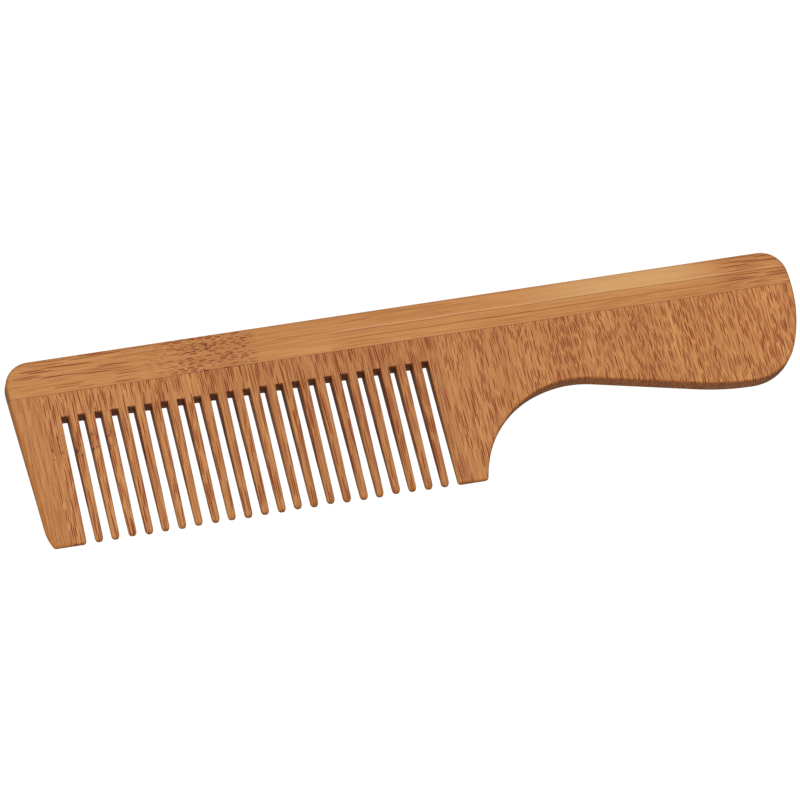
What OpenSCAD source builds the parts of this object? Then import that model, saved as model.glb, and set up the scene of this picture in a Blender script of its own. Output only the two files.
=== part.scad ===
// Wide tooth comb with a handle, sawn from a board of laminated bamboo.
// One lath runs along the back; the staves below it stand across the comb,
// edge to edge, so the grain runs down every tooth.
// The comb lies on its rear face: +X to the handle, +Y to the back, +Z up.

/* [Overall] */
// Length of the handle, from the inner guard's tip to the end
handle_length = 83.85; // [65:0.05:110]
// Width from the back to the tooth tips
comb_width = 46; // [38:0.5:60]
// Thickness of the board
board_thickness = 4.5; // [3:0.1:7]
// Thickness left at the tooth tips
tip_thickness = 1.4; // [0.8:0.1:3]

/* [Laminated board] */
// Width of the lath along the back
lath_width = 9; // [6:0.5:14]
// Width of the part stave at the closed end
first_stave_width = 7.2; // [3:0.1:10]
// Width of the part stave at the handle end
last_stave_width = 13.15; // [5:0.05:20]

/* [Teeth] */
// Number of gaps sawn between the teeth
gap_count = 23; // [12:1:28]
// Distance from one gap to the next
gap_pitch = 3.9; // [3:0.05:6]
// Width of a gap at its root
gap_width = 1.75; // [1:0.05:3]
// How much a gap opens out on each side by the tips
gap_flare = 0.16; // [0:0.02:0.5]
// Solid band between the lath and the gap roots
root_band = 5.9; // [3:0.1:12]
// How far above the gap roots the teeth start to thin
thinning_start = 2; // [0:0.5:5]
// Rounding of the tooth tips
tip_radius = 0.8; // [0.2:0.05:1]

/* [Guards] */
// Width of the outer guard beside the first gap
outer_guard_width = 11.1; // [6:0.1:20]
// Lean of the outer guard's free edge
outer_guard_lean = 3.3; // [0:0.1:8]
// Radius of the outer guard's curved foot
guard_foot_radius = 12; // [6:0.5:14]
// Height of that curved foot
guard_foot_height = 5; // [2:0.5:8]
// Width of the inner guard at its tip
inner_guard_width = 7.5; // [5:0.1:14]
// Length over which the thinned part runs out into the handle
run_out = 18; // [10:1:30]

/* [Handle] */
// Radius of the notch between the inner guard and the handle
notch_radius = 25.5; // [21:0.5:32]
// Width of the handle at its waist
waist_width = 25; // [20:0.5:32]
// Width of the handle at its deepest point
belly_width = 32.4; // [28:0.2:40]
// Distance from the deepest point to the handle end
belly_setback = 15; // [13:0.5:25]
// Radius of the underside leading to the deepest point
swell_radius = 65; // [40:1:90]
// Radius of the handle's lower corner
heel_radius = 12.6; // [8:0.2:14]
// Radius of the handle's end
end_radius = 37; // [30:1:60]
// Radius of the handle's upper corner
crown_radius = 6.2; // [3:0.2:9]
// Radius of the corner at the closed end of the back
tail_radius = 6; // [3:0.2:9]

/* [Hidden] */
$fn = 180;
// Overshoot of every cut past the faces it goes through
past = 1;
// How far a rounding runs over what it meets, so that no sliver is left between them
bite = 0.001;

// The comb is as long as its guards, its teeth and its handle together
comb_length = outer_guard_width + (gap_count - 1) * gap_pitch + gap_width + inner_guard_width
    + handle_length;
left = -comb_length / 2;
right = comb_length / 2;
back = comb_width / 2;
tips = -comb_width / 2;
joint = back - lath_width;
roots = joint - root_band;
gap_depth = roots - tips;

// Gaps
first_gap = left + outer_guard_width + gap_width / 2;
last_gap = first_gap + (gap_count - 1) * gap_pitch;
inner_guard_corner = last_gap + gap_width / 2 + inner_guard_width;
mouth_half = gap_width / 2 + gap_flare;

// Rounding of the tips, never more than half a tooth
tip_round = min(tip_radius, (gap_pitch - 2 * mouth_half) / 2);

// Glue lines between staves: the full staves share what the two part staves leave,
// and a glue line among the teeth moves to the middle of a tooth or of a gap
stave_count = 11;
stave_width = (comb_length - first_stave_width - last_stave_width) / (stave_count - 2);
function even_edge(i) = left + first_stave_width + (i - 1) * stave_width;
function snapped(x) = first_gap + round((x - first_gap) / (gap_pitch / 2)) * gap_pitch / 2;
function among_teeth(x) = x > first_gap - gap_width / 2 && x < last_gap + gap_width / 2;
function stave_edge(i) =
    i <= 0 ? left - past
    : i >= stave_count ? right + past
    : among_teeth(even_edge(i)) ? snapped(even_edge(i))
    : even_edge(i);

// Closed end: tail corner, leaning edge, curved foot
lean = [cos(outer_guard_lean), sin(outer_guard_lean)];
tail_centre = [left + tail_radius, back - tail_radius];
tail_top = [tail_centre[0], back];
tail_side = tail_centre - tail_radius * lean;
foot_drop = tail_side[1] - tips - guard_foot_height;
foot_start = [tail_side[0] + foot_drop * tan(outer_guard_lean), tips + guard_foot_height];
foot_centre = foot_start + guard_foot_radius * lean;
foot_reach = sqrt(pow(guard_foot_radius, 2) - pow(foot_centre[1] - tips, 2));
foot_end = [foot_centre[0] - foot_reach, tips];

// Handle: each arc runs straight into the next
notch_y = back - waist_width - notch_radius;
notch_reach = sqrt(pow(notch_radius, 2) - pow(notch_y - tips, 2));
notch_centre = [inner_guard_corner + notch_reach, notch_y];
belly = [right - belly_setback, back - belly_width];
// The heel never reaches past the handle's end, nor the swell back into the notch
heel = min(heel_radius, belly_setback - past);
run = belly[0] - notch_centre[0];
drop = belly_width - waist_width;
swell = min(swell_radius, (run * run + drop * drop) / (2 * drop) - notch_radius - past);
swell_centre = belly + [0, swell];
heel_centre = belly + [0, heel];
span = swell_centre - notch_centre;
slope = atan2(span[1], span[0]) - asin((notch_radius + swell) / norm(span));
rise = [-sin(slope), cos(slope)];
notch_end = notch_centre + notch_radius * rise;
swell_start = swell_centre - swell * rise;
end_x = right - end_radius;
heel_offset = sqrt(pow(end_radius - heel, 2) - pow(heel_centre[0] - end_x, 2));
end_centre = [end_x, heel_centre[1] + heel_offset];
crown_y = back - crown_radius;
crown_offset = sqrt(pow(end_radius - crown_radius, 2) - pow(crown_y - end_centre[1], 2));
crown_centre = [end_x + crown_offset, crown_y];
function along(a, b) = (b - a) / norm(b - a);
heel_end = end_centre + end_radius * along(end_centre, heel_centre);
crown_side = end_centre + end_radius * along(end_centre, crown_centre);
crown_top = [crown_centre[0], back];

// Thinning of the toothed part, the same on both faces
thin_top = roots + thinning_start;
thin_depth = (board_thickness - tip_thickness) / 2;
thin_rate = thin_depth / (thin_top - tips);
run_out_end = inner_guard_corner + run_out;
run_out_rate = thin_depth / run_out;

// Sub-part to show

// The part of a disc that lies beyond the chord from p to q, run on by before and after
module round_edge(centre, radius, p, q, before = past, after = past) {
    outward = along(centre, (p + q) / 2);
    a = p - before * along(p, q);
    b = q + after * along(p, q);
    intersection() {
        translate(centre) circle(r = radius);
        polygon([a - past * outward, b - past * outward,
                 b + radius * outward, a + radius * outward]);
    }
}

// Face shape of the uncut comb
module outline() {
    difference() {
        union() {
            polygon([tail_side, foot_start, foot_end, [inner_guard_corner, tips], notch_end,
                     swell_start, belly, heel_end, crown_side, crown_top, tail_top]);
            round_edge(tail_centre, tail_radius + bite, tail_side, tail_top);
            round_edge(crown_centre, crown_radius + bite, crown_top, crown_side);
            round_edge(end_centre, end_radius, crown_side, heel_end, 0, 0);
            round_edge(heel_centre, heel + 2 * bite, heel_end, belly);
            round_edge(swell_centre, swell + bite, belly, swell_start, 0);
            round_edge(foot_centre, guard_foot_radius + bite, foot_end, foot_start);
        }
        translate(notch_centre) circle(r = notch_radius + bite);
    }
}

// Takes the square corner off the tip on the right of a gap
module tip_corner() {
    lap = gap_flare * tip_round / gap_depth + bite;
    translate([mouth_half, 0]) difference() {
        translate([-mouth_half, -past]) square([mouth_half + tip_round - lap, tip_round + past]);
        translate([tip_round - lap, tip_round]) circle(r = tip_round);
    }
}

// One gap between two teeth, standing on the tip line
module gap() {
    polygon([[-gap_width / 2, gap_depth], [gap_width / 2, gap_depth],
             [mouth_half, 0], [mouth_half, -past], [-mouth_half, -past], [-mouth_half, 0]]);
    tip_corner();
    mirror([1, 0]) tip_corner();
}

// Wedge of air over the front face of the toothed part
module front_thinning() {
    far = comb_length;
    sunk = (thin_top - tips + past) * thin_rate;
    intersection() {
        translate([-far, 0, 0]) rotate([90, 0, 90]) linear_extrude(2 * far)
            polygon([[thin_top, board_thickness],
                     [tips - past, board_thickness - sunk],
                     [tips - past, board_thickness + past],
                     [thin_top, board_thickness + past]]);
        translate([0, far, 0]) rotate([90, 0, 0]) linear_extrude(2 * far)
            polygon([[run_out_end, board_thickness],
                     [run_out_end - far, board_thickness - far * run_out_rate],
                     [run_out_end - far, board_thickness + past],
                     [run_out_end, board_thickness + past]]);
    }
}

module thinning() {
    front_thinning();
    translate([0, 0, board_thickness]) mirror([0, 0, 1]) front_thinning();
}

// The lath along the back of the comb
module spine() {
    color("burlywood")
    linear_extrude(board_thickness) intersection() {
        outline();
        translate([left - past, joint]) square([comb_length + 2 * past, lath_width + past]);
    }
}

// Stave number i, counted from the closed end
module stave(i) {
    from = stave_edge(i - 1);
    to = stave_edge(i);
    color("tan")
    difference() {
        linear_extrude(board_thickness) difference() {
            intersection() {
                outline();
                translate([from, tips]) square([to - from, joint - tips]);
            }
            for (k = [0 : gap_count - 1])
                if (abs(first_gap + k * gap_pitch - (from + to) / 2) < (to - from) / 2 + gap_pitch)
                    translate([first_gap + k * gap_pitch, tips]) gap();
        }
        if (from < run_out_end) thinning();
    }
}

spine();
stave(1);  // stave_01
stave(2);  // stave_02
stave(3);  // stave_03
stave(4);  // stave_04
stave(5);  // stave_05
stave(6);  // stave_06
stave(7);  // stave_07
stave(8);  // stave_08
stave(9);  // stave_09
stave(10);  // stave_10
stave(11);  // stave_11
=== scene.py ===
"""A wide tooth comb of cross-grain bamboo: a back lath and eleven glued staves, the teeth cut in them."""
import math
import bmesh
import bpy
from mathutils import Matrix, Vector
from mathutils.geometry import delaunay_2d_cdt


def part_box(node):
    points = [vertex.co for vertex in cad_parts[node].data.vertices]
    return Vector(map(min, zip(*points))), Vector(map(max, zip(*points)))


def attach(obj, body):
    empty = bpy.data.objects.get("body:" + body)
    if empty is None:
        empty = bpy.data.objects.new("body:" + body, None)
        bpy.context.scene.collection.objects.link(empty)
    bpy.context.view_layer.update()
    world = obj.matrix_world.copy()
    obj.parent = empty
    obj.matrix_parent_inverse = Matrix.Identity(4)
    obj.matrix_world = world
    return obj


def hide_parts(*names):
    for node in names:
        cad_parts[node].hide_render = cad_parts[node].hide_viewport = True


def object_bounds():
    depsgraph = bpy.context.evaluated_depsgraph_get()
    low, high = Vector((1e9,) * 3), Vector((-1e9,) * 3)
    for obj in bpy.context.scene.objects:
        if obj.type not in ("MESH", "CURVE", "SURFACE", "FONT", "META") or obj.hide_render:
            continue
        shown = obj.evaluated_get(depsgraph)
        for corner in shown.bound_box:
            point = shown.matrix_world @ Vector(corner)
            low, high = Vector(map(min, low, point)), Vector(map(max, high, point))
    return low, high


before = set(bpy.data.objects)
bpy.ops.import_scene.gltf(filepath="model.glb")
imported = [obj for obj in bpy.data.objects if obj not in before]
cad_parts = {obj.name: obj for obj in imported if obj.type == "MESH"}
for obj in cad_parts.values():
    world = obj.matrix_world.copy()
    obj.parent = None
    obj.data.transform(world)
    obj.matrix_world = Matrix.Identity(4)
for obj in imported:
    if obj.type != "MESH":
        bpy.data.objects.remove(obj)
cad_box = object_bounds()

MM = 0.001

# ---------------------------------------------------------------- sizes, in millimetres
LEFT, TIPS = cad_box[0].x / MM, cad_box[0].y / MM
RIGHT, BACK, BOARD = (c / MM for c in cad_box[1])
STAVES = ["stave_%02d" % i for i in range(1, 12)]
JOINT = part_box("spine")[0].y / MM
SEAMS = [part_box(n)[1].x / MM for n in STAVES[:-1]]

TIP_THICKNESS = 1.4
THINNING_START = 2
RUN_OUT = 18
GAP_COUNT, GAP_PITCH, GAP_WIDTH, GAP_FLARE = 23, 3.9, 1.75, 0.16
ROOT_BAND = 5.9
INNER_GUARD, GUARD_LEAN = 7.5, 3.3
FOOT_RADIUS, FOOT_HEIGHT = 12, 5
TAIL_RADIUS, CROWN_RADIUS = 6, 6.2
NOTCH_RADIUS, WAIST = 25.5, 25
BELLY_WIDTH, BELLY_SETBACK, SWELL_RADIUS = 32.4, 15, 65
HEEL_RADIUS, END_RADIUS = 12.6, 37
CORNER_RADIUS = 0.8

# Edges: how far each rounding reaches in from the rim
EDGE, LEAN_EDGE, GUARD_EDGE = 0.7, 1.2, 0.42
ROOT_EDGE, CORNER_EDGE = 0.15, 0.25
FOOT_EDGE, FOOT_EDGE_END = 1.8, 0.62
NOTCH_CORNER_EDGE, NOTCH_EDGE = 0.55, 0.6
MOST_ROUNDING = 0.45    # of the thickness, from one face

# Worn corners of the outline: how far they run along its sides
WORN_CORNER, FOOT_CORNER = 0.9, 0.65

# How the meshes are built: steps of a rounding, the last ring's inset, the points' spacing
ROUND_STEPS = 6
INSET = 0.15
ARC_STEP, LINE_STEP, BACK_STEP, TIP_STEP = 1.2, 1.5, 2.5, 0.8
SQUARE_STEP, FACE_STEP = 1.2, 1.25
ROOT_HALF = 0.6
END_LEAD, SEAM_LEAD = 2.2, 2.4

ROOTS = JOINT - ROOT_BAND
# The second glue line runs down the middle of the fourth tooth
FIRST_GAP = SEAMS[1] - 3.5 * GAP_PITCH
LAST_GAP = FIRST_GAP + (GAP_COUNT - 1) * GAP_PITCH
GUARD_CORNER = LAST_GAP + GAP_WIDTH / 2 + INNER_GUARD
MOUTH = GAP_WIDTH / 2 + GAP_FLARE
THIN_DEPTH = (BOARD - TIP_THICKNESS) / 2
THIN_TOP = ROOTS + THINNING_START
THIN_RATE = THIN_DEPTH / (THIN_TOP - TIPS)
RUN_END = GUARD_CORNER + RUN_OUT
RUN_RATE = THIN_DEPTH / RUN_OUT


# ---------------------------------------------------------------- outline
def toward(centre, radius, degrees):
    """The point at that angle on a circle."""
    a = math.radians(degrees)
    return centre[0] + radius * math.cos(a), centre[1] + radius * math.sin(a)


def arc(centre, radius, start, end, edge=EDGE, edge_end=None):
    """Rim points (x, y, edge) round an arc; end below start turns clockwise."""
    turn = abs(end - start)
    n = max(2, math.ceil(math.radians(turn) * radius / ARC_STEP), math.ceil(turn / 10))
    last = edge if edge_end is None else edge_end
    return [toward(centre, radius, start + (end - start) * k / n) + (edge + (last - edge) * k / n,)
            for k in range(n + 1)]


def line(a, b, edge=EDGE, edge_end=None, step=LINE_STEP):
    """Rim points (x, y, edge) along a straight edge."""
    n = max(1, math.ceil(math.dist(a[:2], b[:2]) / step))
    last = edge if edge_end is None else edge_end
    return [(a[0] + (b[0] - a[0]) * k / n, a[1] + (b[1] - a[1]) * k / n, edge + (last - edge) * k / n)
            for k in range(n + 1)]


def softened(a, corner, b, edge, edge_end):
    """Rim points round a worn corner, from a to b."""
    return [tuple((1 - t) ** 2 * p + 2 * t * (1 - t) * c + t * t * q for p, c, q in zip(a, corner, b))
            + (edge + (edge_end - edge) * t,) for t in (0, 0.25, 0.5, 0.75, 1)]


def joined(*runs):
    """The runs end to end, each shared point kept once."""
    points = []
    for run in runs:
        for p in run:
            if not points or math.dist(p[:2], points[-1][:2]) > 1e-4:
                points.append(p)
    return points


def closed_end():
    """From the lath down the outer guard to the first gap's root."""
    lean = math.radians(GUARD_LEAN)
    side = (LEFT + TAIL_RADIUS * (1 - math.cos(lean)), BACK - TAIL_RADIUS - TAIL_RADIUS * math.sin(lean))
    run = math.tan(lean)
    start = (side[0] + (side[1] - JOINT) * run, JOINT)
    foot = (side[0] + (side[1] - TIPS - FOOT_HEIGHT) * run, TIPS + FOOT_HEIGHT)
    centre = (foot[0] + FOOT_RADIUS * math.cos(lean), foot[1] + FOOT_RADIUS * math.sin(lean))
    landing = 180 + math.degrees(math.asin((centre[1] - TIPS) / FOOT_RADIUS))
    toe = toward(centre, FOOT_RADIUS, landing)
    past_toe = (toe[0] + FOOT_CORNER, TIPS)
    before = landing - math.degrees(FOOT_CORNER / FOOT_RADIUS)
    corner = (FIRST_GAP - MOUTH - CORNER_RADIUS, TIPS + CORNER_RADIUS)
    return joined(
        line(start, foot, EDGE, LEAN_EDGE),
        arc(centre, FOOT_RADIUS, 180 + GUARD_LEAN, before, LEAN_EDGE, FOOT_EDGE),
        softened(toward(centre, FOOT_RADIUS, before), toe, past_toe, FOOT_EDGE, FOOT_EDGE),
        line(past_toe, (corner[0], TIPS), FOOT_EDGE, FOOT_EDGE_END, TIP_STEP),
        arc(corner, CORNER_RADIUS, 270, 360, FOOT_EDGE_END, GUARD_EDGE),
        line((FIRST_GAP - MOUTH, corner[1]), (FIRST_GAP - GAP_WIDTH / 2, ROOTS),
             GUARD_EDGE, CORNER_EDGE))


def gap_roots():
    """Along the gaps' roots, where teeth stand on the plain stretches between them."""
    points = []
    for k in range(GAP_COUNT):
        middle = FIRST_GAP + k * GAP_PITCH
        ends = CORNER_EDGE if k == 0 else 0, CORNER_EDGE if k == GAP_COUNT - 1 else 0
        points += [(middle - GAP_WIDTH / 2, ROOTS, ends[0]), (middle - ROOT_HALF, ROOTS, ROOT_EDGE),
                   (middle, ROOTS, ROOT_EDGE), (middle + ROOT_HALF, ROOTS, ROOT_EDGE),
                   (middle + GAP_WIDTH / 2, ROOTS, ends[1])]
    return points


def handle_side():
    """Down the inner guard, round the finger notch and along the handle to the lath."""
    corner = (LAST_GAP + MOUTH + CORNER_RADIUS, TIPS + CORNER_RADIUS)
    notch_y = BACK - WAIST - NOTCH_RADIUS
    notch = (GUARD_CORNER + math.sqrt(NOTCH_RADIUS ** 2 - (notch_y - TIPS) ** 2), notch_y)
    belly = (RIGHT - BELLY_SETBACK, BACK - BELLY_WIDTH)
    swell = (belly[0], belly[1] + SWELL_RADIUS)
    heel = (belly[0], belly[1] + HEEL_RADIUS)
    across, up = swell[0] - notch[0], swell[1] - notch[1]
    slope = math.atan2(up, across) - math.asin((NOTCH_RADIUS + SWELL_RADIUS) / math.hypot(across, up))
    slope = math.degrees(slope)
    start = 180 - math.degrees(math.asin((TIPS - notch_y) / NOTCH_RADIUS))
    after = start - math.degrees(WORN_CORNER / NOTCH_RADIUS)
    end, heel_turn = end_circle(heel)
    return joined(
        line((LAST_GAP + GAP_WIDTH / 2, ROOTS), (LAST_GAP + MOUTH, corner[1]),
             CORNER_EDGE, GUARD_EDGE),
        arc(corner, CORNER_RADIUS, 180, 270, GUARD_EDGE, FOOT_EDGE_END),
        line((corner[0], TIPS), (GUARD_CORNER - WORN_CORNER, TIPS),
             FOOT_EDGE_END, NOTCH_CORNER_EDGE, TIP_STEP),
        softened((GUARD_CORNER - WORN_CORNER, TIPS), (GUARD_CORNER, TIPS),
                 toward(notch, NOTCH_RADIUS, after), NOTCH_CORNER_EDGE, NOTCH_EDGE),
        arc(notch, NOTCH_RADIUS, after, 90 + slope, NOTCH_EDGE, EDGE),
        arc(swell, SWELL_RADIUS, 270 + slope, 270),
        arc(heel, HEEL_RADIUS, 270, 360 + heel_turn),
        arc(end, END_RADIUS, heel_turn, math.degrees(math.asin((JOINT - end[1]) / END_RADIUS))))


def end_circle(heel):
    """The handle end's centre, tangent inside to the heel, and the angle where they meet."""
    x = RIGHT - END_RADIUS
    rise = math.sqrt((END_RADIUS - HEEL_RADIUS) ** 2 - (heel[0] - x) ** 2)
    return (x, heel[1] + rise), -math.degrees(math.atan2(rise, heel[0] - x))


def lath_rim():
    """From the right end of the glue line over the crown, along the back and down the tail."""
    end, _ = end_circle((RIGHT - BELLY_SETBACK, BACK - BELLY_WIDTH + HEEL_RADIUS))
    crown_y = BACK - CROWN_RADIUS
    turn = math.asin((crown_y - end[1]) / (END_RADIUS - CROWN_RADIUS))
    crown = (end[0] + (END_RADIUS - CROWN_RADIUS) * math.cos(turn), crown_y)
    turn = math.degrees(turn)
    tail = (LEFT + TAIL_RADIUS, BACK - TAIL_RADIUS)
    return joined(
        arc(end, END_RADIUS, math.degrees(math.asin((JOINT - end[1]) / END_RADIUS)), turn),
        arc(crown, CROWN_RADIUS, turn, 90),
        line((crown[0], BACK), (tail[0], BACK), step=BACK_STEP),
        arc(tail, TAIL_RADIUS, 90, 180 + GUARD_LEAN),
        line(toward(tail, TAIL_RADIUS, 180 + GUARD_LEAN), closed_end()[0]))


def rim_between(rim, x0, x1):
    """The rim from where it first passes x0 to where it first passes x1; None keeps that end."""
    def crossing(x):
        for k in range(len(rim) - 1):
            a, b = rim[k], rim[k + 1]
            if a[0] <= x < b[0]:
                f = (x - a[0]) / (b[0] - a[0])
                return k, tuple(p + (q - p) * f for p, q in zip(a, b))
    first, last, head, foot = 0, len(rim) - 1, [], []
    if x0 is not None:
        k, p = crossing(x0)
        first, head = k + 1, [p]
    if x1 is not None:
        k, p = crossing(x1)
        last, foot = k, [p]
    return joined(head, rim[first:last + 1], foot)


# ---------------------------------------------------------------- boards
def thinning(x, y):
    """How much is taken off each face, from the roots down to the tips and back out along the handle."""
    down, out = THIN_RATE * (THIN_TOP - y), RUN_RATE * (RUN_END - x)
    blend = 0.12
    depth = min(down, out, THIN_DEPTH) - max(0, blend - abs(down - out)) ** 2 / (4 * blend)
    soft = 0.03
    if depth <= -soft:
        return 0
    return depth if depth >= soft else (depth + soft) ** 2 / (4 * soft)


def unit(v):
    """The direction of v, as a vector of length one."""
    n = math.hypot(*v)
    return v[0] / n, v[1] / n


def leads(rim, start_slide, end_slide):
    """For each rim point, how it moves as the rim moves in by one: ends slide along the glue lines."""
    normals = [unit((a[1] - b[1], b[0] - a[0])) for a, b in zip(rim, rim[1:])]
    least = 0.4
    moves = []
    for k in range(len(rim)):
        if 0 < k < len(rim) - 1:
            n1, n2 = normals[k - 1], normals[k]
            way = unit((n1[0] + n2[0], n1[1] + n2[1]))
        else:
            n1 = normals[0] if k == 0 else normals[-1]
            way = start_slide if k == 0 else end_slide
        along = max(least, way[0] * n1[0] + way[1] * n1[1])
        moves.append((way[0] / along, way[1] / along))
    return moves


def inside(p, ring):
    """True if p is inside the ring and clear of its points."""
    hit, clear = False, 0.7
    for (x0, y0), (x1, y1) in zip(ring, ring[1:] + ring[:1]):
        if (y0 > p[1]) != (y1 > p[1]) and p[0] < x0 + (p[1] - y0) * (x1 - x0) / (y1 - y0):
            hit = not hit
    return hit and min(math.dist(p, q) for q in ring) > clear


class Shell:
    """A closed shell built face by face; points at one place are one vertex."""
    def __init__(self):
        self.mesh = bmesh.new()
        self.found = {}

    def vertex(self, p):
        key = tuple(round(c, 4) for c in p)
        if key not in self.found:
            self.found[key] = self.mesh.verts.new([c * MM for c in p])
        return self.found[key]

    def face(self, points, smooth=True):
        corners = []
        for p in points:
            v = self.vertex(p)
            if v not in corners:
                corners.append(v)
        if len(corners) > 2 and not self.mesh.faces.get(corners):
            self.mesh.faces.new(corners).smooth = smooth

    def strip(self, below, above):
        n = len(below)
        for k in range(n):
            m = (k + 1) % n
            self.face([below[k], below[m], above[m], above[k]])


def cap(ring):
    """Triangles over the ring, with extra points where the faces are thinned: lists of (x, y)."""
    spare = []
    left = min(x for x, _ in ring)
    if min(y for _, y in ring) < THIN_TOP and left < RUN_END:
        right = min(RUN_END + 1.5, max(x for x, _ in ring))
        top = THIN_TOP + 1.2
        for i in range(int((right - left) / FACE_STEP) + 1):
            for j in range(int((top - TIPS) / FACE_STEP) + 1):
                p = (left + FACE_STEP * (i + 0.5), TIPS + FACE_STEP * (j + 0.5 * (i % 2) + 0.3))
                if p[1] < top and inside(p, ring):
                    spare.append(p)
    flat = list(ring) + spare
    made = delaunay_2d_cdt([Vector(p) for p in flat], [], [list(range(len(ring)))], 1, 1e-5, True)
    places = [flat[o[0]] if o else tuple(v) for v, o in zip(made[0], made[3])]
    return [[places[i] for i in f] for f, within in zip(made[2], made[5]) if within]


def board(rim, closing, start_slide, end_slide):
    """A board from its rounded rim and the square-cut points that close it, counter-clockwise."""
    moves = leads(rim, start_slide, end_slide) + [(0, 0)] * len(closing)
    points = rim + closing

    def ring(share, extra, drop, front):
        out = []
        for (x, y, edge), (mx, my) in zip(points, moves):
            reach = edge * share + (extra if edge else 0)
            px, py = x + mx * reach, y + my * reach
            thinned = thinning(px, py)
            depth = thinned + min(edge, MOST_ROUNDING * (BOARD - 2 * thinned)) * drop
            out.append((px, py, BOARD - depth if front else depth))
        return out

    shell = Shell()
    angles = [math.pi / 2 * k / ROUND_STEPS for k in range(ROUND_STEPS + 1)]
    steps = [(1 - math.cos(a), 0, 1 - math.sin(a)) for a in angles] + [(1, INSET, 0)]
    stack = [ring(*s, False) for s in reversed(steps)] + [ring(*s, True) for s in steps]
    for below, above in zip(stack, stack[1:]):
        shell.strip(below, above)
    for face in cap([(x, y) for x, y, _ in stack[-1]]):
        shell.face([(x, y, BOARD - thinning(x, y)) for x, y in face], False)
        shell.face([(x, y, thinning(x, y)) for x, y in reversed(face)], False)
    return shell.mesh


def square_points(a, b, lead=0.0):
    """Points along a square-cut edge from a to b without its ends; lead keeps them off rounded rims."""
    length = math.dist(a[:2], b[:2])
    count = max(1, int((length - 2 * lead) / SQUARE_STEP))
    out = []
    for k in range(count + 1):
        d = lead + (length - 2 * lead) * k / count
        if 0.01 < d < length - 0.01:
            out.append((a[0] + (b[0] - a[0]) * d / length, a[1] + (b[1] - a[1]) * d / length, 0))
    return out


def lath_board():
    """The lath, closed along its glue line."""
    rim = lath_rim()
    closing = square_points(rim[-1], rim[0], END_LEAD)
    return board(rim, closing, (-1, 0), (1, 0))


def stave_board(number, rim):
    """Stave 1 to 11 without its teeth."""
    x0 = SEAMS[number - 2] if number > 1 else None
    x1 = SEAMS[number - 1] if number < len(STAVES) else None
    run = rim_between(rim, x0, x1)
    closing, a = [], run[-1]
    if x1 is not None:
        closing += square_points(a, (x1, JOINT), min(SEAM_LEAD, (JOINT - a[1]) / 3))
        closing.append((x1, JOINT, 0))
        a = (x1, JOINT)
    if x0 is None:
        closing += square_points(a, run[0], END_LEAD)
    else:
        closing += square_points(a, (x0, JOINT), END_LEAD if x1 is None else 0)
        closing.append((x0, JOINT, 0))
        closing += square_points((x0, JOINT), run[0], min(SEAM_LEAD, (JOINT - run[0][1]) / 3))
    start_slide = (0, 1) if x0 is not None else (1, 0)
    end_slide = (0, 1) if x1 is not None else (-1, 0)
    return board(run, closing, start_slide, end_slide)


# ---------------------------------------------------------------- node trees
class Value:
    """One output in a node tree, with arithmetic."""
    def __init__(self, tree, socket):
        self.tree, self.socket = tree, socket

    def maths(self, operation, *others):
        values = dict(enumerate((self,) + others))
        return self.tree.node("ShaderNodeMath", {"operation": operation}, values)

    def __add__(self, o): return self.maths("ADD", o)
    def __radd__(self, o): return self.maths("ADD", o)
    def __sub__(self, o): return self.maths("SUBTRACT", o)
    def __rsub__(self, o): return self.tree.number(o).maths("SUBTRACT", self)
    def __mul__(self, o): return self.maths("MULTIPLY", o)
    def __rmul__(self, o): return self.maths("MULTIPLY", o)
    def __truediv__(self, o): return self.maths("DIVIDE", o)
    def __rtruediv__(self, o): return self.tree.number(o).maths("DIVIDE", self)
    def __pow__(self, o): return self.maths("POWER", o)
    def __abs__(self): return self.maths("ABSOLUTE")
    def floor(self): return self.maths("FLOOR")
    def sign(self): return self.maths("SIGN")
    def least(self, o): return self.maths("MINIMUM", o)
    def most(self, o): return self.maths("MAXIMUM", o)
    def clear(self): return self.least(1).most(0)

    def between(self, low, high):
        """Smoothly 0 at low and 1 at high."""
        return self.tree.node("ShaderNodeMapRange", {"interpolation_type": "SMOOTHSTEP"},
                              {"Value": self, "From Min": low, "From Max": high})


class Tree:
    """A node tree; node() adds any node and gives one of its outputs."""
    def __init__(self, tree):
        self.tree = tree

    def node(self, kind, settings=None, values=None, output=0):
        n = self.tree.nodes.new(kind)
        for name, value in (settings or {}).items():
            setattr(n, name, value)
        for name, value in (values or {}).items():
            if isinstance(value, Value):
                self.tree.links.new(value.socket, n.inputs[name])
            else:
                n.inputs[name].default_value = value
        return Value(self, n.outputs[output])

    def number(self, value):
        return self.node("ShaderNodeMath", {"operation": "ADD"}, {0: value, 1: 0.0})

    def vector(self, x=0.0, y=0.0, z=0.0):
        return self.node("ShaderNodeCombineXYZ", {}, {"X": x, "Y": y, "Z": z})

    def parts(self, vector):
        split = self.node("ShaderNodeSeparateXYZ", {}, {"Vector": vector})
        return [Value(self, o) for o in split.socket.node.outputs]

    def noise(self, vector, scale=1.0, detail=2.0, roughness=0.5, output=0):
        return self.node("ShaderNodeTexNoise", {}, {"Vector": vector, "Scale": scale, "Detail": detail,
                                                    "Roughness": roughness}, output)

    def chance(self, x, y=0.0, z=0.0):
        """A fixed random number from 0 to 1 for each cell."""
        return self.node("ShaderNodeTexWhiteNoise", {"noise_dimensions": "3D"},
                         {"Vector": self.vector(x, y, z)})

    def mix(self, factor, a, b, blend="MIX"):
        return self.node("ShaderNodeMix", {"data_type": "RGBA", "blend_type": blend, "clamp_factor": True},
                         {0: factor, 6: a, 7: b}, 2)

    def surface(self, shader):
        """Ends a material's tree in the shader."""
        out = self.tree.nodes.new("ShaderNodeOutputMaterial")
        self.tree.links.new(shader.socket, out.inputs["Surface"])


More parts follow.
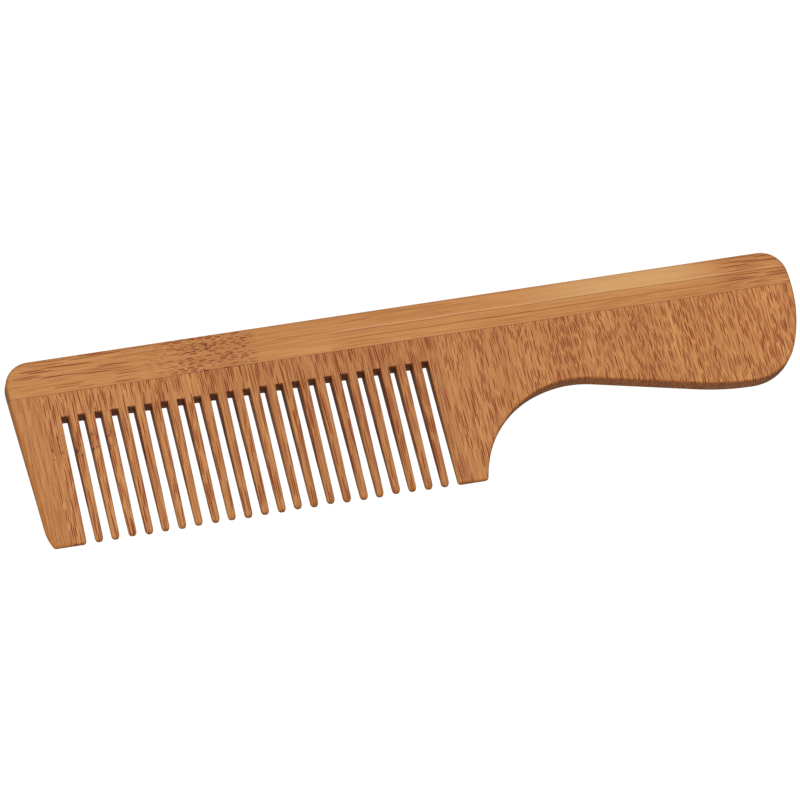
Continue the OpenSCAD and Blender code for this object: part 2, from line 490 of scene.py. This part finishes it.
# ---------------------------------------------------------------- teeth
TOOTH_INPUTS = {
    "First tooth": ("NodeSocketInt", 0), "Teeth": ("NodeSocketInt", 1),
    "First place": ("NodeSocketFloat", 0.0), "Pitch": ("NodeSocketFloat", GAP_PITCH * MM),
    "Root line": ("NodeSocketFloat", ROOTS * MM), "Mid plane": ("NodeSocketFloat", BOARD / 2 * MM),
    "Length": ("NodeSocketFloat", (ROOTS - TIPS) * MM),
    "Root width": ("NodeSocketFloat", (GAP_PITCH - GAP_WIDTH) * MM),
    "Tip width": ("NodeSocketFloat", (GAP_PITCH - 2 * MOUTH) * MM),
    "Root thickness": ("NodeSocketFloat", (BOARD - 2 * THIN_RATE * THINNING_START) * MM),
    "Tip thickness": ("NodeSocketFloat", TIP_THICKNESS * MM),
    "Tip rounding": ("NodeSocketFloat", 1.15 * MM), "Unevenness": ("NodeSocketFloat", 0.09 * MM),
    "Seed": ("NodeSocketInt", 11), "Finish": ("NodeSocketMaterial", None),
}


def tooth_shape(t, given):
    """One tooth from its root at the origin down -Y: a square section that rounds off to the tip."""
    rod = t.node("GeometryNodeMeshCylinder", {"fill_type": "TRIANGLE_FAN"},
                 {"Vertices": 32, "Side Segments": 28, "Fill Segments": 1, "Radius": 1.0, "Depth": 1.0})
    x, y, z = t.parts(t.node("GeometryNodeInputPosition"))
    left = 0.5 - z
    down = 1 - left * left
    length, rounding = given["Length"], given["Tip rounding"]
    near = ((rounding - (1 - down) * length) / rounding).most(0).least(0.995)
    close = (1 - near ** 2.3) ** 0.45
    squareness = 13 - down * 8.5
    power = 2 / squareness
    half = (given["Root width"] + (given["Tip width"] - given["Root width"]) * down) * 0.5
    deep = (given["Root thickness"] + (given["Tip thickness"] - given["Root thickness"]) * down) * 0.5
    place = t.vector(x.sign() * abs(x) ** power * half * close, down * length * -1,
                     y.sign() * abs(y) ** power * deep * close)
    return t.node("GeometryNodeSetPosition", {}, {"Geometry": rod, "Position": place})


def tooth_row_tree():
    """Teeth along the root line, each a little its own length and lean."""
    group = bpy.data.node_groups.new("tooth row", "GeometryNodeTree")
    group.interface.new_socket(name="Teeth", in_out="OUTPUT", socket_type="NodeSocketGeometry")
    for name, (kind, value) in TOOTH_INPUTS.items():
        socket = group.interface.new_socket(name=name, in_out="INPUT", socket_type=kind)
        if value is not None:
            socket.default_value = value
    t = Tree(group)
    start = group.nodes.new("NodeGroupInput")
    given = {o.name: Value(t, o) for o in start.outputs if o.name}
    number = given["First tooth"]
    row = t.node("GeometryNodeMeshLine", {}, {
        "Count": given["Teeth"], "Offset": t.vector(x=given["Pitch"]),
        "Start Location": t.vector(given["First place"] + given["Pitch"] * (number + 0.5),
                                   given["Root line"], given["Mid plane"])})
    tooth_number = t.node("GeometryNodeInputIndex") + number

    def random(low, high, step):
        return t.node("FunctionNodeRandomValue", {"data_type": "FLOAT"},
                      {"Min": low, "Max": high, "ID": tooth_number, "Seed": given["Seed"] + step}, 1)
    teeth = t.node("GeometryNodeInstanceOnPoints", {}, {
        "Points": row, "Instance": tooth_shape(t, given),
        "Rotation": t.vector(z=random(-0.0022, 0.0022, 1)),
        "Scale": t.vector(random(0.985, 1.0, 2), random(0.988, 1.0, 3), 1.0)})
    solid = t.node("GeometryNodeRealizeInstances", {}, {"Geometry": teeth})
    place = t.node("GeometryNodeInputPosition")
    free = ((given["Root line"] - t.parts(place)[1]) / (5 * MM)).clear()
    sway, _, lift = t.parts(t.noise(place, 190.0, 2.0, 0.5, 1))
    amount = given["Unevenness"] * free
    worn = t.node("GeometryNodeSetPosition", {}, {
        "Geometry": solid, "Offset": t.vector((sway - 0.5) * amount, 0.0, (lift - 0.5) * amount)})
    done = t.node("GeometryNodeSetMaterial", {}, {"Geometry": worn, "Material": given["Finish"]})
    end = group.nodes.new("NodeGroupOutput")
    group.links.new(done.socket, end.inputs[0])
    return group


def tooth_row(tree, first, count, finish):
    """A plain mesh of the teeth from that number on."""
    holder = bpy.data.objects.new("tooth row", bpy.data.meshes.new("tooth row"))
    bpy.context.scene.collection.objects.link(holder)
    modifier = holder.modifiers.new("tooth row", "NODES")
    modifier.node_group = tree
    ids = {s.name: s.identifier for s in tree.interface.items_tree if s.in_out == "INPUT"}
    for name, (_, value) in TOOTH_INPUTS.items():
        if value is not None:
            modifier[ids[name]] = value
    modifier[ids["First tooth"]], modifier[ids["Teeth"]] = first, count
    modifier[ids["First place"]], modifier[ids["Finish"]] = FIRST_GAP * MM, finish
    mesh = bpy.data.meshes.new_from_object(holder.evaluated_get(bpy.context.evaluated_depsgraph_get()))
    holder.modifiers.remove(modifier)
    bpy.data.objects.remove(holder)
    return mesh


def cut_at(mesh, x, side):
    """Keeps what is left (side 1) or right (side -1) of a glue line, and closes the cut."""
    everything = mesh.verts[:] + mesh.edges[:] + mesh.faces[:]
    bmesh.ops.bisect_plane(mesh, geom=everything, plane_co=(x * MM, 0, 0), plane_no=(side, 0, 0),
                           clear_outer=True, dist=1e-8)
    open_edges = [e for e in mesh.edges if e.is_boundary]
    if open_edges:
        bmesh.ops.holes_fill(mesh, edges=open_edges, sides=0)


def stave_teeth(number, tree, finish):
    """The teeth and half teeth of one stave, or None."""
    x0, x1 = ([LEFT] + SEAMS + [RIGHT])[number - 1:number + 1]
    slack = 0.02
    first = max(0, math.ceil((x0 - FIRST_GAP) / GAP_PITCH - 0.5 - slack))
    last = min(GAP_COUNT - 2, math.floor((x1 - FIRST_GAP) / GAP_PITCH - 0.5 + slack))
    if last < first:
        return None
    teeth = tooth_row(tree, first, last - first + 1, finish)
    mesh = bmesh.new()
    mesh.from_mesh(teeth)
    cut_at(mesh, x0, -1)
    cut_at(mesh, x1, 1)
    for face in mesh.faces:
        face.smooth = True
    return mesh


# ---------------------------------------------------------------- finish
def paint(red, green, blue):
    """A colour given as it is seen on a screen, 0 to 255."""
    return tuple((c / 255 / 12.92) if c < 10.31 else ((c / 255 + 0.055) / 1.055) ** 2.4
                 for c in (red, green, blue)) + (1.0,)


STRAW, AMBER, FLECK = paint(218, 154, 88), paint(176, 107, 50), paint(232, 186, 128)
FIBRE, GLUE, END = paint(138, 56, 16), paint(72, 38, 22), paint(160, 92, 54)
PIT = paint(78, 30, 10)


class Bamboo(Tree):
    """Bamboo in object coordinates: fibres along one way, bundles across it and through the thickness."""
    def __init__(self, name):
        self.material = bpy.data.materials.new(name)
        self.material.use_nodes = True
        self.material.node_tree.nodes.clear()
        super().__init__(self.material.node_tree)
        place = self.node("ShaderNodeTexCoord", {}, {}, "Object")
        self.x, self.y, self.z = (c * (1 / MM) for c in self.parts(place))
        facing = self.node("ShaderNodeNewGeometry", {}, {}, "Normal")
        self.nx, self.ny, self.nz = (abs(c) for c in self.parts(facing))

    def bundles(self, along, across, seed, width, slope, arch=0.0, centre=0.0, layer=0.8, fill=0.40):
        """Where the dark fibre bundles come up through the face: short dashes in columns."""
        drift = self.noise(self.vector(along * 0.045, across * 0.25, seed), 1.0, 2.0) - 0.5
        column = (across + drift * 1.6) / width
        count = (column + 0.5).floor()
        off = column - count
        shift = self.chance(count, seed)
        deep = self.z - along * slope - (across - centre) * (across - centre) * arch
        row = deep / layer + shift * 7.3 + drift * 2.4
        step = (row + 0.5).floor()
        up = row - step
        pick = self.chance(count, step, seed)
        size = 0.52 + pick * 0.7
        spread = off * off * (1 / 0.30 ** 2) + up * up * (1 / fill ** 2)
        return ((size - spread) * 3.6).clear() * (pick * 1.7 - 0.35).clear()

    def streaks(self, along, across, seed, fine=5.0, stretch=0.22):
        """Fine fibres."""
        return self.noise(self.vector(along * stretch + seed, across * fine, self.z * fine), 1.0, 4.0, 0.6)

    def line_at(self, place, at, half):
        """1 on a thin line."""
        return (1 - abs(place - at) / half).clear()

    def done(self, colour, roughness, height):
        bump = self.node("ShaderNodeBump", {}, {"Height": height, "Strength": 0.5, "Distance": 0.05 * MM})
        shader = self.node("ShaderNodeBsdfPrincipled", {}, {
            "Base Color": colour, "Roughness": roughness, "Normal": bump, "Specular IOR Level": 0.2})
        self.surface(shader)
        return self.material


def bamboo(name, seed, grain, zone, tone, light, slope, strength, arch=0.0, centre=0.0, width=0.42,
           grit=1.0):
    """One piece's bamboo. grain is 'y' for a stave and 'x' for the lath; zone adds its own marks."""
    b = Bamboo(name)
    along, across, end = (b.y, b.x, b.ny) if grain == "y" else (b.x, b.y, b.nx)
    fibres = b.streaks(along, across, seed)
    coarse = b.streaks(along, across, seed + 3.7, 1.6, 0.05)
    broad = b.noise(b.vector(along * 0.035, across * 0.12, seed * 1.9), 1.0, 2.0)
    dashes = b.bundles(along, across, seed, width, slope, arch, centre)
    mid = b.bundles(along + 1.7, across + 0.21, seed + 5, width * 0.7, slope * 0.55, arch, centre,
                    fill=0.46)
    shade = (tone + (fibres - 0.5) * 1.4 * grit + (coarse - 0.5) * 0.9 * grit + (broad - 0.5) * 0.7).clear()
    colour = b.mix(shade, AMBER, STRAW)
    colour = b.mix((dashes * strength).clear(), colour, FIBRE)
    colour = b.mix((mid * strength * 0.6).clear(), colour, FIBRE)
    pale = b.streaks(along, across, seed + 9.1, 3.2, 0.35).between(0.62, 0.78)
    colour = b.mix(pale * 0.30, colour, FLECK)
    colour, height = zone(b, colour, fibres * 0.5 - dashes * 0.5)
    ends = end.between(0.4, 0.9)
    colour = b.mix(ends * 0.62, colour, b.mix(dashes, END, GLUE))
    glue = b.line_at(b.y, JOINT, 0.16)
    colour = b.mix(glue * 0.5, colour, GLUE)
    colour = b.mix(1.0, colour, (light, light, light, 1.0), "MULTIPLY")
    return b.done(colour, 0.5 + (fibres - 0.5) * 0.25 + dashes * 0.12, height)


def lath_marks(b, colour, height):
    """The lath's own marks: dashes at the closed end, a knuckle, long lines, a pale stretch, a dark end."""
    knuckle = b.x.between(-66, -50) * (1 - b.x.between(-39, -34))
    closed = 1 - b.x.between(-70, -60)
    far = b.x.between(74, 84)
    marks = b.bundles(b.x, b.y, 41.3, 0.42, 0.07, arch=0.002, centre=18.0, fill=0.34)
    short = b.bundles(b.x, b.y, 47.9, 0.48, 0.22, layer=0.55)
    fine = b.streaks(b.x, b.y, 12.4, 4.2, 0.03).between(0.56, 0.70)
    colour = b.mix(fine * 0.22, colour, FIBRE)
    pale = b.x.between(20, 50) * (1 - b.x.between(66, 82)) * b.y.between(17.5, 19.5)
    colour = b.mix(pale * 0.4, colour, FLECK)
    colour = b.mix((marks * (closed + far) * 1.1).clear(), colour, FIBRE)
    colour = b.mix(knuckle * 0.34, colour, AMBER)
    colour = b.mix((short * knuckle * 1.1).clear(), colour, FIBRE)
    flecks = b.streaks(b.x, b.y, 23.6, 2.6, 0.9).between(0.60, 0.68) * knuckle
    colour = b.mix(flecks * 0.5, colour, FLECK)
    pits = b.noise(b.vector(b.x * 0.9, b.y * 2.0, b.z * 2.0), 1.0, 2.0).between(0.61, 0.66) * knuckle
    colour = b.mix(pits * 0.85, colour, PIT)
    right = b.x.between(-24, -12)
    sway = (b.noise(b.vector(b.x * 0.05, 3.1), 1.0, 1.0) - 0.5) * 0.5
    colour = b.mix(b.line_at(b.y + sway, 18.8, 0.26) * right * 0.5, colour, FLECK)
    colour = b.mix(b.line_at(b.y + sway, 18.45, 0.17) * right * 0.7, colour, FIBRE)
    colour = b.mix(b.line_at(b.y + sway, 16.6, 0.19) * right * 0.75, colour, FIBRE)
    return colour, height - pits * 0.3


def pitted(b, colour, height):
    """A row of small pits across the second stave's teeth."""
    pits = b.noise(b.vector(b.x * 1.8, b.y * 0.8, b.z), 1.0, 2.0).between(0.56, 0.66)
    pits = pits * b.y.between(-3.4, -1.5) * (1 - b.y.between(2.6, 4.4))
    return b.mix(pits * 0.75, colour, PIT), height - pits * 0.2


def seamed(left, right, inner=None):
    """Faint glue lines at a stave's two sides."""
    def marks(b, colour, height):
        if inner:
            colour, height = inner(b, colour, height)
        seam = b.line_at(b.x, left, 0.14).most(b.line_at(b.x, right, 0.14))
        return b.mix(seam * 0.4, colour, AMBER), height
    return marks


# Each stave's tone and light, and the slope, arch, strength and width of its bundles
STAVE_LOOKS = {
    1: dict(tone=0.42, light=0.97, slope=0.13, strength=0.45),
    2: dict(tone=0.57, light=1.0, slope=0.15, strength=1.3, width=0.40),
    3: dict(tone=0.52, light=0.99, slope=0.14, strength=1.25, width=0.40),
    4: dict(tone=0.40, light=0.95, slope=0.13, strength=1.15),
    5: dict(tone=0.40, light=0.94, slope=0.13, strength=1.1),
    6: dict(tone=0.39, light=0.94, slope=0.14, strength=1.15, width=0.40),
    7: dict(tone=0.50, light=0.99, slope=0.20, strength=1.1, width=0.38, grit=0.8),
    8: dict(tone=0.52, light=0.98, slope=0.22, arch=0.016, strength=1.3, width=0.38),
    9: dict(tone=0.52, light=0.98, slope=0.24, arch=0.018, strength=1.35, width=0.38),
    10: dict(tone=0.58, light=1.0, slope=0.19, arch=0.004, strength=1.3, width=0.38),
    11: dict(tone=0.62, light=1.01, slope=0.18, strength=1.25, width=0.38),
}


# ---------------------------------------------------------------- pieces
def piece(name, mesh, finish, node):
    """One finished piece that stands for a CAD node."""
    mesh.normal_update()
    sharp = math.radians(36)
    for edge in mesh.edges:
        edge.smooth = not (edge.is_manifold and edge.calc_face_angle(0) > sharp)
    data = bpy.data.meshes.new(name)
    mesh.to_mesh(data)
    mesh.free()
    data.materials.clear()
    data.materials.append(finish)
    for polygon in data.polygons:
        polygon.material_index = 0
    made = bpy.data.objects.new(name, data)
    bpy.context.scene.collection.objects.link(made)
    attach(made, "root")
    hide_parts(node)


def make_lath():
    """The lath along the back."""
    finish = bamboo("lath bamboo", 2.3, "x", lath_marks, tone=0.56, light=0.965, slope=0.03, width=0.7,
                    strength=0.22, grit=0.75)
    piece("back_lath", lath_board(), finish, "spine")


def make_staves():
    """The staves with their teeth. An end stave's outer side has no glue line: it is set off the comb."""
    rim = joined(closed_end(), gap_roots(), handle_side())
    tree = tooth_row_tree()
    off = 9
    sides = [LEFT - off] + SEAMS + [RIGHT + off]
    for number, node in enumerate(STAVES, 1):
        x0, x1 = sides[number - 1:number + 1]
        zone = seamed(x0, x1, pitted if number == 2 else None)
        finish = bamboo("stave %d bamboo" % number, number * 7.31, "y", zone, centre=(x0 + x1) / 2,
                        **STAVE_LOOKS[number])
        mesh = stave_board(number, rim)
        teeth = stave_teeth(number, tree, finish)
        if teeth:
            row = bpy.data.meshes.new("row")
            teeth.to_mesh(row)
            teeth.free()
            mesh.from_mesh(row)
        piece("cross_" + node, mesh, finish, node)


# ---------------------------------------------------------------- stage
def make_floor():
    """A plain pale floor, bright like a light table."""
    bpy.ops.mesh.primitive_plane_add(size=12, location=(0, 0, -0.4 * MM))
    floor = bpy.context.object
    floor.name = "floor"
    material = bpy.data.materials.new("floor")
    material.use_nodes = True
    material.node_tree.nodes.clear()
    t = Tree(material.node_tree)
    glow = t.node("ShaderNodeEmission", {}, {"Color": (1, 1, 1, 1), "Strength": 1.05})
    t.surface(glow)
    floor.data.materials.append(material)
    floor.visible_diffuse = False
    floor.visible_glossy = False


def make_lamp(name, place, size, power):
    """A round soft lamp that looks at the middle of the comb."""
    data = bpy.data.lights.new(name, "AREA")
    data.shape, data.size, data.energy = "DISK", size, power
    lamp = bpy.data.objects.new(name, data)
    lamp.location = place
    lamp.rotation_euler = (-Vector(place)).to_track_quat("-Z", "Y").to_euler()
    bpy.context.scene.collection.objects.link(lamp)


def make_light():
    """A dim white world, a high key lamp and a low fill lamp from the teeth's side."""
    world = bpy.data.worlds.new("studio")
    world.use_nodes = True
    backdrop = world.node_tree.nodes["Background"].inputs
    backdrop["Color"].default_value = (1, 1, 1, 1)
    backdrop["Strength"].default_value = 0.30
    bpy.context.scene.world = world
    make_lamp("key", (0.18, 0.26, 1.4), 0.6, 12.4)
    make_lamp("fill", (-1.0, -0.75, 0.38), 0.6, 5.5)
    bpy.context.scene.view_settings.view_transform = "Standard"


def make_camera():
    """A long lens, above and to the left, turned so that the comb lies across the picture."""
    azimuth, elevation, roll, distance = (math.radians(-31.237), math.radians(64.287),
                                          math.radians(-19.864), 1.0917)
    aim = Vector((-0.005313, -0.000668, 0.004537))
    back = Vector((math.sin(azimuth) * math.cos(elevation), -math.cos(azimuth) * math.cos(elevation),
                   math.sin(elevation)))
    up = (Vector((0, 0, 1)) - back * back.z).normalized()
    side = (-back).cross(up)
    top = up * math.cos(roll) + side * math.sin(roll)
    right = (-back).cross(top)
    data = bpy.data.cameras.new("camera")
    data.lens, data.sensor_width, data.clip_end = 211.5, 36, 100
    camera = bpy.data.objects.new("camera", data)
    camera.matrix_world = Matrix.Translation(aim + back * distance) @ Matrix(
        (right, top, back)).transposed().to_4x4()
    bpy.context.scene.collection.objects.link(camera)
    bpy.context.scene.camera = camera


make_lath()
make_staves()
make_floor()
make_light()
make_camera()
